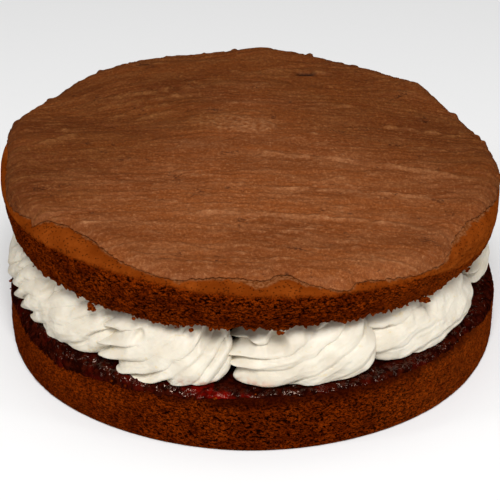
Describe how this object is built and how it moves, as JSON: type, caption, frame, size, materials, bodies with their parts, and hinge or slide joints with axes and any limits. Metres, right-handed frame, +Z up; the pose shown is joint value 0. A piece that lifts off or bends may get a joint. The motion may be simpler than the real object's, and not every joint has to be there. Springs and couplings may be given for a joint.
{
  "type": "chocolate sponge cake",
  "caption": "Round chocolate sponge sandwich cake: baked layers with jam and piped cream swirls between them, and chocolate icing spread on top.",
  "frame": {"origin": "centre of the flat base the cake stands on", "axes": "+Z up through the layers; -Y is the front, the side that faces the viewer in the reference view, and +X is to its right"},
  "size_m": [0.199, 0.1998, 0.0826],
  "materials": {
    "sponge": "matte porous crumb",
    "jam": "glossy, translucent dark red",
    "cream": "soft satin",
    "icing": "satin, with spreading strokes"
  },
  "bodies": {
    "root": {"bottom_sponge": "sponge", "jam_layer": "jam", "cream_middle": "cream", "cream_swirl_01": "cream", "cream_swirl_02": "cream", "cream_swirl_03": "cream", "cream_swirl_04": "cream", "cream_swirl_05": "cream", "cream_swirl_06": "cream", "cream_swirl_07": "cream", "cream_swirl_08": "cream", "cream_swirl_09": "cream", "cream_swirl_10": "cream", "top_sponge": "sponge", "chocolate_icing": "icing"}
  },
  "joints": []
}
